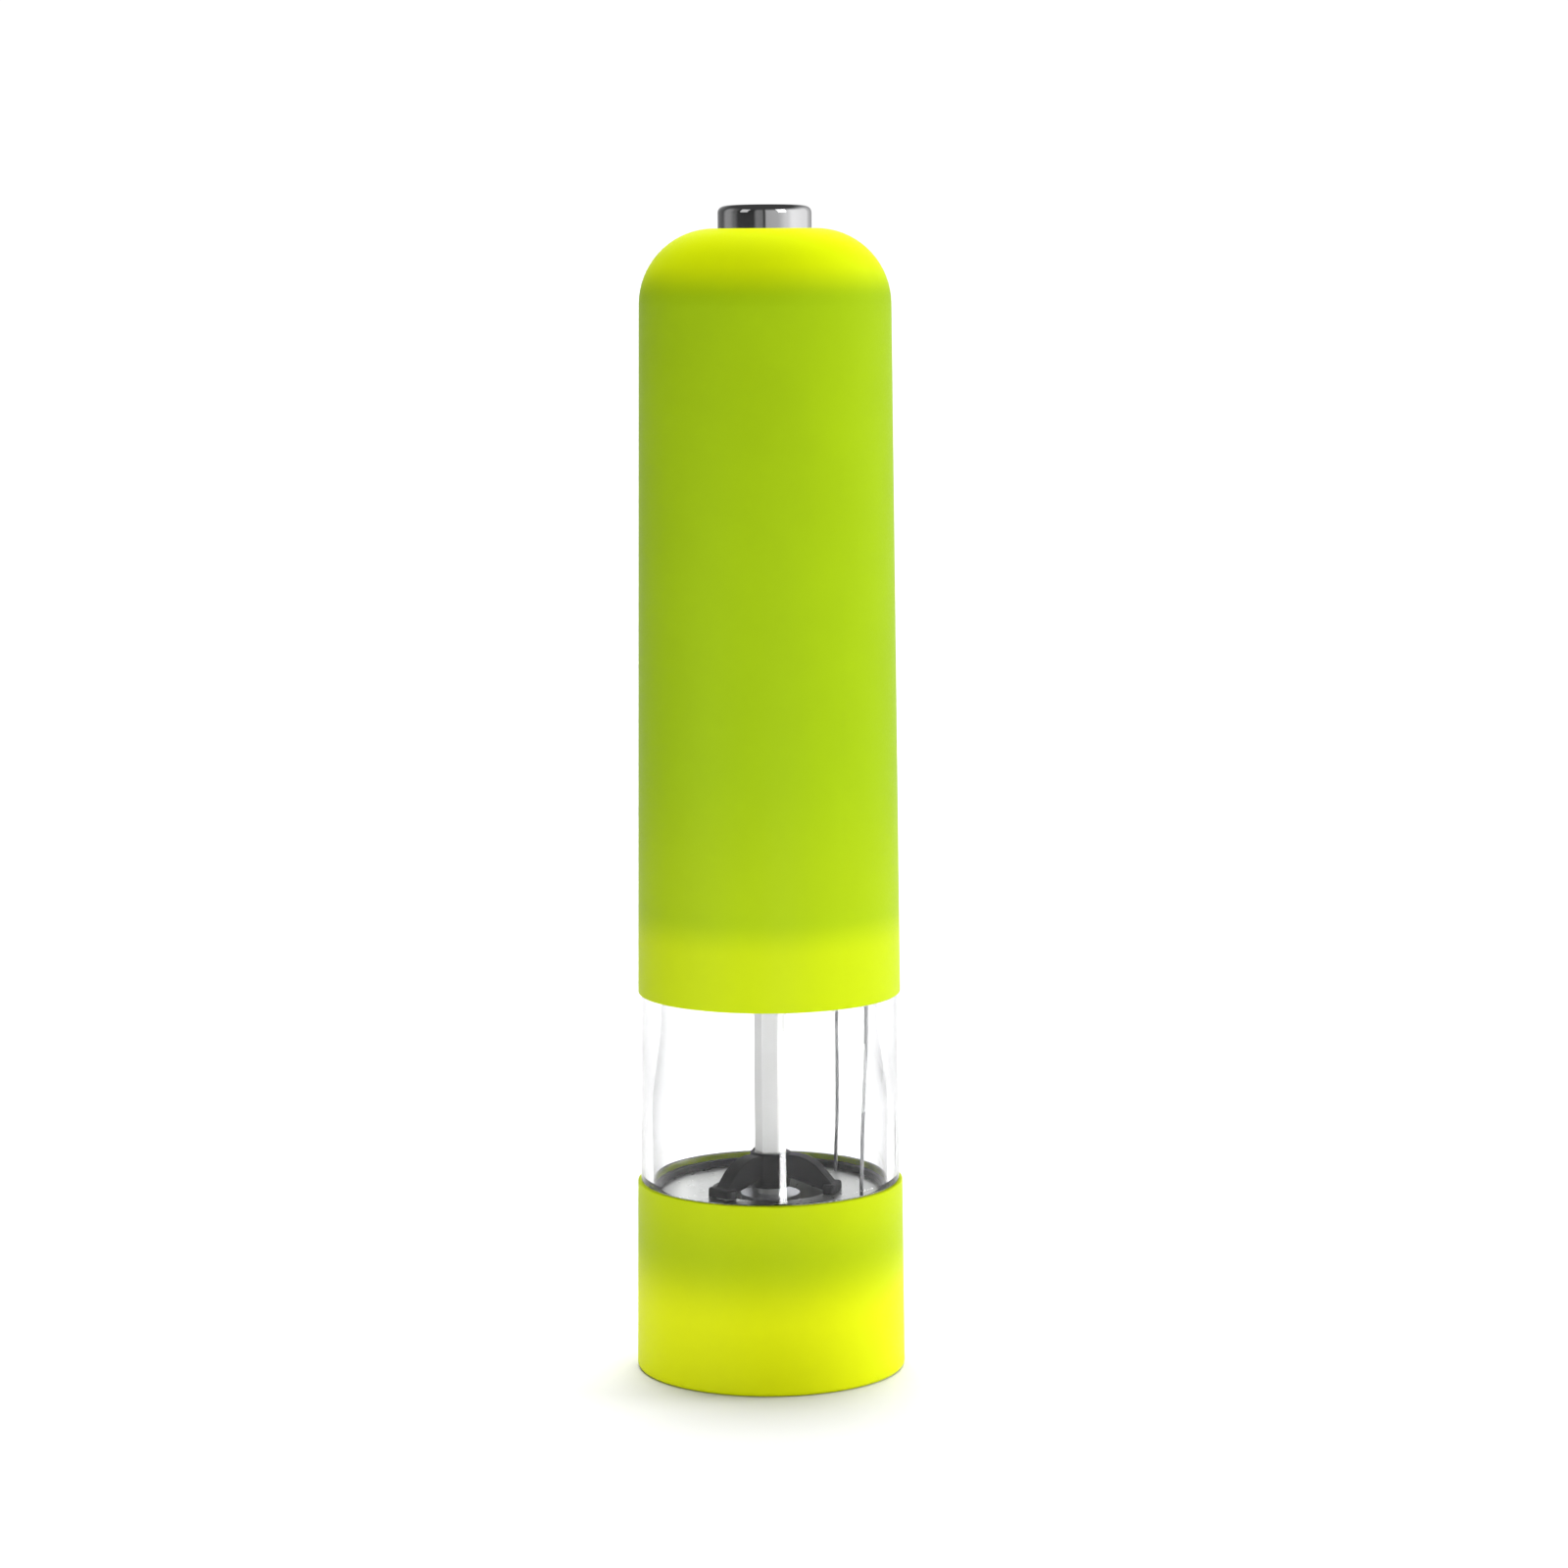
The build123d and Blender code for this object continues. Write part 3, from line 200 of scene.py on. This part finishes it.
def studio_world():
    """White behind the mill, bright on the right, dim on the left, under a dark ceiling.

    All of it lights the mill and shows in reflections, but the camera itself sees plain white.
    """
    world = bpy.data.worlds.new("studio")
    scene.world = world
    world.use_nodes = True
    nodes, link = world.node_tree.nodes, world.node_tree.links.new
    direction = coordinates(world, "Generated")
    azimuth = nodes.new("ShaderNodeMath")
    azimuth.operation = "ARCTAN2"
    link(direction["X"], azimuth.inputs[0])
    link(negative(world, direction["Y"]), azimuth.inputs[1])
    turn = spread(world, azimuth.outputs[0], 0, 1, -pi, pi)
    walls = grey_ramp(world, turn, [(degrees / 360 + 0.5, level) for degrees, level in WALLS])
    up = spread(world, direction["Z"], 0, 1, CEILING_FROM, CEILING_TO, "SMOOTHSTEP")
    room = blend(world, up, walls, (CEILING_LIGHT, CEILING_LIGHT, CEILING_LIGHT))
    seen = nodes.new("ShaderNodeLightPath").outputs["Is Camera Ray"]
    background = nodes["Background"]
    link(blend(world, seen, room, WHITE), background.inputs["Color"])
    background.inputs["Strength"].default_value = WALL_LIGHT


def floor():
    """A pale floor, dark far off on the camera's side, where the button's chrome reflects it."""
    half = FLOOR_HALF
    corners = [(-half, -half, 0), (half, -half, 0), (half, half, 0), (-half, half, 0)]
    mesh = bpy.data.meshes.new("floor")
    mesh.from_pydata(corners, [], [(0, 1, 2, 3)])
    obj = bpy.data.objects.new("floor", mesh)
    scene.collection.objects.link(obj)
    material, shader = new_material("floor")
    towards_camera = negative(material, coordinates(material, "Object")["Y"])
    shade = spread(material, towards_camera, FLOOR_SHADE, FAR_SHADE, FAR_FROM, FAR_TO)
    material.node_tree.links.new(shade, shader.inputs["Base Color"])
    shader.inputs["Roughness"].default_value = 0.8
    shader.inputs["Specular IOR Level"].default_value = 0.1
    mesh.materials.append(material)


# ---------------------------------------------------------------- materials

EDGE_ROUND = 0.00018  # metres: every edge is shaded as if it were rounded this much
EDGE_FROM, EDGE_TO = 0.99, 0.86  # cosine between the flat and the rounded normal: off an edge, and on it
LIME = (0.200, 0.305, 0.001)
# Lighter, yellower lime painted on as light, not a colour of the moulding.
LIME_PAINTED_LIGHT = (0.56, 0.62, 0.001)
# Share of painted light in the lime, by height in metres: a lighter, yellower lime that stands in for light,
# strongest at the foot of the base and on the dome's top, fainter round the rims.
PAINTED_LIGHT_BY_HEIGHT = (
    (0, 1), (0.012, 1), (0.026, 0.3), (0.036, 0.42),
    (0.0725, 0.4), (0.082, 0.38), (0.089, 0.1), (0.12, 0), (0.202, 0), (0.209, 0.55), (0.215, 0.75),
)
PAINTED_LIGHT_TOP = 0.22  # height that the painted-light ramp reaches to
# Share of copper on a cell's jacket, by height in metres above its flat end.
COPPER_BAND = ((0, 0), (0.0335, 0), (0.0338, 1), (0.05, 1))
COPPER_BAND_TOP = 0.05


def grain(material, scale, detail=4.0, stretch=(1, 1, 1)):
    """Noise in the object's own space, in cycles per metre along each axis."""
    nodes, link = material.node_tree.nodes, material.node_tree.links.new
    where = nodes.new("ShaderNodeTexCoord")
    mapping = nodes.new("ShaderNodeMapping")
    mapping.inputs["Scale"].default_value = stretch
    noise = nodes.new("ShaderNodeTexNoise")
    noise.inputs["Scale"].default_value = scale
    noise.inputs["Detail"].default_value = detail
    link(where.outputs["Object"], mapping.inputs["Vector"])
    link(mapping.outputs["Vector"], noise.inputs["Vector"])
    return noise.outputs["Fac"]


def by_height(material, top, stops):
    """A grey level by height in the object's own space, from (metres, level) stops between 0 and top."""
    height = spread(material, coordinates(material, "Object")["Z"], 0, 1, 0, top)
    return grey_ramp(material, height, [(at / top, level) for at, level in stops])


def tint(material, shader, share, colour):
    """Blends a colour over the one that the material has."""
    plain = shader.inputs["Base Color"].links[0].from_socket
    material.node_tree.links.new(blend(material, share, plain, colour), shader.inputs["Base Color"])


def soft_edge(material, radius):
    """A normal that turns smoothly over every edge, and how near an edge is, from 0 to 1."""
    nodes, link = material.node_tree.nodes, material.node_tree.links.new
    rounded = nodes.new("ShaderNodeBevel")
    rounded.samples = 4
    rounded.inputs["Radius"].default_value = radius
    surface = nodes.new("ShaderNodeNewGeometry")
    same = nodes.new("ShaderNodeVectorMath")
    same.operation = "DOT_PRODUCT"
    link(rounded.outputs["Normal"], same.inputs[0])
    link(surface.outputs["Normal"], same.inputs[1])
    return rounded.outputs["Normal"], spread(material, same.outputs["Value"], 1.0, 0.0, EDGE_TO, EDGE_FROM)


def bump(material, shader, source, distance, strength, normal):
    """Gives a relief, distance high in metres, on top of another normal."""
    nodes, link = material.node_tree.nodes, material.node_tree.links.new
    node = nodes.new("ShaderNodeBump")
    node.inputs["Distance"].default_value = distance
    node.inputs["Strength"].default_value = strength
    link(source, node.inputs["Height"])
    link(normal, node.inputs["Normal"])
    link(node.outputs["Normal"], shader.inputs["Normal"])


def speckled(name, colour, roughness, texture, depth, shade, metallic=0.0, stretch=(1, 1, 1)):
    """A material whose colour, roughness and relief vary with a fine noise, with its edges rubbed paler.

    The noise has texture cycles per metre, its relief is depth metres high, and the colour varies by
    shade either way.
    """
    material, shader = new_material(name)
    link = material.node_tree.links.new
    fine = grain(material, texture, 3.0, stretch)
    broad = grain(material, texture / 40, 2.0)
    dark = [c * (1 - shade) for c in colour]
    light = [min(1.0, c * (1 + shade)) for c in colour]
    rubbed = [min(1.0, c * 1.12 + 0.006) for c in colour]
    normal, edge = soft_edge(material, EDGE_ROUND)
    plain = blend(material, spread(material, broad, 0, 1), dark, light)
    link(blend(material, edge, plain, rubbed), shader.inputs["Base Color"])
    link(spread(material, fine, roughness * 0.88, min(1, roughness * 1.12)), shader.inputs["Roughness"])
    bump(material, shader, fine, depth, 0.5, normal)
    shader.inputs["Metallic"].default_value = metallic
    return material, shader


def lime_shell():
    """Matt lime moulding, with painted light: lighter and yellower by height, most at its foot and on its
    dome's top.
    """
    material, shader = speckled("lime_shell", LIME, 0.5, texture=2600, depth=0.000012, shade=0.02)
    shader.inputs["Specular IOR Level"].default_value = 0.06
    # Painted light: blends the lighter, yellower lime in by height.
    tint(material, shader, by_height(material, PAINTED_LIGHT_TOP, PAINTED_LIGHT_BY_HEIGHT), LIME_PAINTED_LIGHT)
    return material


def clear_wall():
    """Clear moulding, with a dark grey shade painted into its colour where it is seen along its surface."""
    material, shader = new_material("clear_wall")
    shader.inputs["Transmission Weight"].default_value = 1.0
    shader.inputs["IOR"].default_value = 1.25  # under the real 1.5, so that the neck bends no grey into view
    shader.inputs["Roughness"].default_value = 0.0
    nodes, link = material.node_tree.nodes, material.node_tree.links.new
    edge = nodes.new("ShaderNodeLayerWeight")
    edge.inputs["Blend"].default_value = 0.5
    # Painted shade: the colour turns dark grey at grazing angles, in place of the dark bands at the wall's
    # edges.
    grazing_painted_shade = spread(material, edge.outputs["Facing"], 0.0, 1.0, 0.36, 1.0)
    link(blend(material, grazing_painted_shade, (0.99, 0.992, 0.995), (0.10, 0.105, 0.11)), shader.inputs["Base Color"])
    return material


def chrome():
    """Polished plating."""
    material, _ = speckled(
        "button_chrome", (0.78, 0.78, 0.79), 0.045, texture=300, depth=0.000002, shade=0.02, metallic=1.0
    )
    return material


def metal(name, colour, roughness, texture):
    material, _ = speckled(name, colour, roughness, texture, depth=0.000006, shade=0.06, metallic=1.0)
    return material


def plated_steel():
    """Pale satin plating with faint drawing marks along the shaft."""
    material, _ = speckled(
        "shaft_steel", (0.58, 0.58, 0.57), 0.40,
        texture=900, depth=0.000006, shade=0.04, metallic=0.55, stretch=(1, 1, 0.03),
    )
    return material


def plastic(name, colour, roughness, specular=0.5):
    material, shader = speckled(name, colour, roughness, texture=1800, depth=0.00001, shade=0.08)
    shader.inputs["Specular IOR Level"].default_value = specular
    return material


def led_lens():
    """Clear epoxy."""
    material, shader = new_material("led_lens")
    shader.inputs["Base Color"].default_value = (0.93, 0.95, 1.0, 1)
    shader.inputs["Transmission Weight"].default_value = 0.9
    shader.inputs["IOR"].default_value = 1.53
    haze = spread(material, grain(material, 900), 0.04, 0.12)
    material.node_tree.links.new(haze, shader.inputs["Roughness"])
    return material


def printed_jacket():
    """Shrunk film on a cell: dark, with a copper band at the raised end."""
    colour = (0.012, 0.014, 0.02)
    material, shader = speckled("battery_jacket", colour, 0.28, texture=900, depth=0.000008, shade=0.08)
    tint(material, shader, by_height(material, COPPER_BAND_TOP, COPPER_BAND), (0.55, 0.24, 0.07))
    return material


MATERIALS = {
    "lime_shell": lime_shell(),
    "clear_wall": clear_wall(),
    "black_plastic": plastic("black_plastic", (0.006, 0.006, 0.007), 0.42, 0.12),
    "grey_plastic": plastic("grey_plastic", (0.10, 0.105, 0.11), 0.45),
    "white_plastic": plastic("white_plastic", (0.72, 0.72, 0.69), 0.38),
    "button_chrome": chrome(),
    "shaft_steel": plated_steel(),
    "plate_steel": metal("plate_steel", (0.60, 0.61, 0.60), 0.30, 500),
    "spring_steel": metal("spring_steel", (0.24, 0.24, 0.245), 0.5, 1500),
    "screw_steel": metal("screw_steel", (0.50, 0.51, 0.54), 0.33, 1500),
    "burr_ceramic": plastic("burr_ceramic", (0.76, 0.74, 0.68), 0.55),
    "stud_brass": metal("stud_brass", (0.72, 0.50, 0.20), 0.28, 1500),
    "seal_rubber": plastic("seal_rubber", (0.02, 0.02, 0.02), 0.6),
    "led_lens": led_lens(),
    "contact_metal": metal("contact_metal", (0.62, 0.60, 0.52), 0.3, 1500),
    "motor_steel": metal("motor_steel", (0.48, 0.49, 0.50), 0.36, 900),
    "magnet_ferrite": plastic("magnet_ferrite", (0.05, 0.05, 0.055), 0.5),
    "winding_copper": metal("winding_copper", (0.60, 0.24, 0.08), 0.3, 1500),
    "battery_jacket": printed_jacket(),
}

for part in record["subparts"]:
    node = frame["nodes"][part["node"]]
    node.data.materials.clear()
    node.data.materials.append(MATERIALS[part["material_slot"]])


# ---------------------------------------------------------------- finer pieces

# Outlines are (radius, height) points in millimetres: a cell's from its flat end, the lamp's from its cup.
JACKET = (
    (5.7, 0.30), (6.1, 0.12), (6.6, 0.02), (6.95, 0.12), (7.08, 0.45), (7.08, 48.75),
    (6.95, 49.08), (6.6, 49.18), (6.0, 49.10), (5.6, 48.95),
)
NEGATIVE_END = ((0, 0.12), (3.4, 0.12), (3.7, 0.22), (5.2, 0.22), (5.8, 0.32), (5.8, 0.8), (0, 0.8))
POSITIVE_END = (
    (4.9, 48.6), (4.9, 49.05), (3.1, 49.15), (2.8, 49.3), (2.75, 50.2), (2.55, 50.42),
    (2.2, 50.48), (0, 50.48),
)
SEAL_WASHER = ((5.65, 48.5), (5.65, 49.0), (4.85, 49.12), (4.85, 48.5))
CELL_PARTS = (
    ("jacket", JACKET, "battery_jacket"),
    ("negative_end", NEGATIVE_END, "plate_steel"),
    ("positive_end", POSITIVE_END, "plate_steel"),
    ("washer", SEAL_WASHER, "white_plastic"),
)
UPRIGHT_CELLS = (1, 3)  # the other two stand on their raised end
LED_CUP = ((0, 0.3), (0.35, 0.3), (0.75, -0.35), (0.85, -0.35), (0.6, 0.9), (0, 0.9))
LED_CHIP = ((0, 0.30), (0.28, 0.28), (0.30, 0.12), (0.22, 0.05), (0, 0.02))
LED_CUP_HEIGHT = 2.2  # above the lamp's lower end


def lathe(name, outline, around):
    """Mesh turned round Z from (radius, height) points, smooth except at sharp corners."""
    shape = bmesh.new()
    angles = [2 * pi * i / around for i in range(around)]
    rings = []
    for radius, height in outline:
        if radius == 0:
            rings.append([shape.verts.new((0, 0, height))])
        else:
            rings.append([shape.verts.new((radius * cos(a), radius * sin(a), height)) for a in angles])
    for low, high in zip(rings, rings[1:]):
        for i in range(around):
            j = i + 1
            corners = [low[i % len(low)], low[j % len(low)], high[j % len(high)], high[i % len(high)]]
            shape.faces.new(list(dict.fromkeys(corners)))
    bmesh.ops.recalc_face_normals(shape, faces=shape.faces)
    mesh = bpy.data.meshes.new(name)
    shape.to_mesh(mesh)
    shape.free()
    mesh.shade_smooth()
    mesh.set_sharp_from_angle(angle=radians(40))
    return mesh


def add_piece(name, outline, around, body, slot):
    """Turns an outline round Z into a piece that rides on a body."""
    mesh = lathe(name, [(radius * MM, height * MM) for radius, height in outline], around)
    piece = bpy.data.objects.new(name, mesh)
    scene.collection.objects.link(piece)
    mesh.materials.append(MATERIALS[slot])
    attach(piece, body)
    return piece


def battery(number):
    """One AA cell: printed jacket, two metal ends and the insulating washer round the raised one."""
    node = f"battery_{number}"
    low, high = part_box(node)
    upright = number in UPRIGHT_CELLS
    for part, outline, slot in CELL_PARTS:
        piece = add_piece(f"{node}_{part}", outline, 64, "power_unit", slot)
        piece.location = ((low[0] + high[0]) / 2, (low[1] + high[1]) / 2, low[2] if upright else high[2])
        piece.rotation_euler = (0 if upright else pi, 0, 0)
        if part == "jacket":
            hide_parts(node)


def led_inside():
    """The reflector cup and the yellow chip inside the clear lamp."""
    low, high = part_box("lamp_led")
    for name, outline, slot in (("led_cup", LED_CUP, "plate_steel"), ("led_chip", LED_CHIP, "stud_brass")):
        piece = add_piece(name, outline, 24, "root", slot)
        piece.location = ((low[0] + high[0]) / 2, (low[1] + high[1]) / 2, low[2] + LED_CUP_HEIGHT * MM)


def soften(node, voxel, rounds):
    """Rounds every edge of a moulded part a little, as its mould does."""
    part = frame["nodes"][node]
    remesh = part.modifiers.new("even_skin", "REMESH")
    remesh.mode = "VOXEL"
    remesh.voxel_size = voxel
    remesh.use_smooth_shade = True
    smooth = part.modifiers.new("soft_edges", "SMOOTH")
    smooth.iterations = rounds
    smooth.factor = 0.5


for number in range(1, 5):
    battery(number)
led_inside()
soften("shaft_bridge", voxel=0.00016, rounds=6)


# ---------------------------------------------------------------- studio

place_camera()
studio_world()
floor()
overhead(strength=6.2, width=40, lean=16)
low_strip()
soft_light("key", azimuth=44, distance=0.95, height=0.66, aim=0.16, size=(0.40, 0.60), power=1.0)
soft_light("fill", azimuth=-52, distance=0.95, height=0.66, aim=0.16, size=(0.36, 0.55), power=0.4)
side = soft_light("side", azimuth=95, distance=1.0, height=0.25, aim=0.14, size=(0.5, 0.9), power=13.0)
side.visible_glossy = False
soft_light("low_right", azimuth=50, distance=0.42, height=0.03, aim=0.0, size=(0.4, 0.05), power=0.3)
soft_light("low_left", azimuth=-50, distance=0.42, height=0.03, aim=0.0, size=(0.4, 0.05), power=0.85)
scene.view_settings.view_transform = "Standard"
